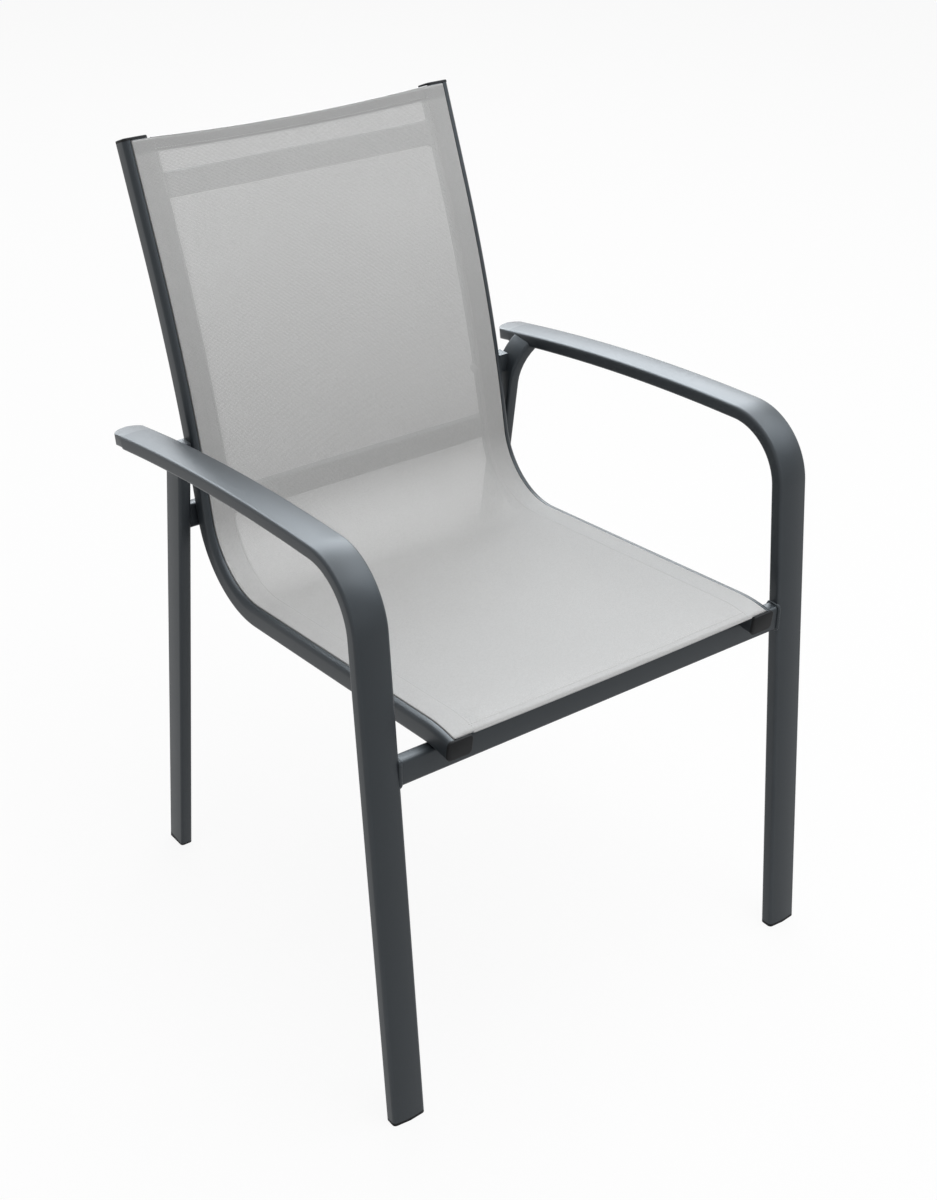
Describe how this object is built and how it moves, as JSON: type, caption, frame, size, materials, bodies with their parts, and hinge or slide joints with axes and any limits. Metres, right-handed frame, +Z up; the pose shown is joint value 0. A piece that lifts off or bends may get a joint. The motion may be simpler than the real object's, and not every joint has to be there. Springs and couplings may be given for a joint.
{
  "type": "sling patio chair",
  "caption": "Stacking outdoor armchair: flat oval tube legs that bend into arms, straight rear legs, bent side rails and a taut see-through sling seat and back.",
  "frame": {"origin": "on the floor, under the middle of the chair's bounding box", "axes": "+Z up, the sitter faces -Y, +X to the right of someone who looks at the chair from its front"},
  "size_m": [0.5896, 0.6228, 0.9012],
  "materials": {
    "powder_coat": "satin anthracite powder coat on aluminium tube",
    "black_plastic": "matte moulded plastic",
    "sling_fabric": "light grey open weave of coated polyester yarn",
    "keder_plastic": "smooth extruded rod",
    "steel": "zinc-plated"
  },
  "bodies": {
    "root": {"left_leg_arm_tube": "powder_coat", "right_leg_arm_tube": "powder_coat", "left_rear_leg": "powder_coat", "right_rear_leg": "powder_coat", "front_crossbar": "powder_coat", "rear_crossbar": "powder_coat", "top_crossbar": "powder_coat", "left_sling_rail": "powder_coat", "right_sling_rail": "powder_coat", "left_rail_lug": "powder_coat", "right_rail_lug": "powder_coat", "left_keder_rod": "keder_plastic", "right_keder_rod": "keder_plastic", "sling_cloth": "sling_fabric", "left_rail_front_cap": "black_plastic", "right_rail_front_cap": "black_plastic", "left_rail_top_cap": "black_plastic", "right_rail_top_cap": "black_plastic", "left_arm_end_cap": "black_plastic", "right_arm_end_cap": "black_plastic", "left_front_glide": "black_plastic", "right_front_glide": "black_plastic", "left_rear_glide": "black_plastic", "right_rear_glide": "black_plastic", "left_front_bolt": "steel", "right_front_bolt": "steel", "left_rear_bolt": "steel", "right_rear_bolt": "steel", "left_lug_bolt": "steel", "right_lug_bolt": "steel", "left_front_washer": "steel", "right_front_washer": "steel", "left_rear_washer": "steel", "right_rear_washer": "steel", "left_lug_washer": "steel", "right_lug_washer": "steel"}
  },
  "joints": []
}
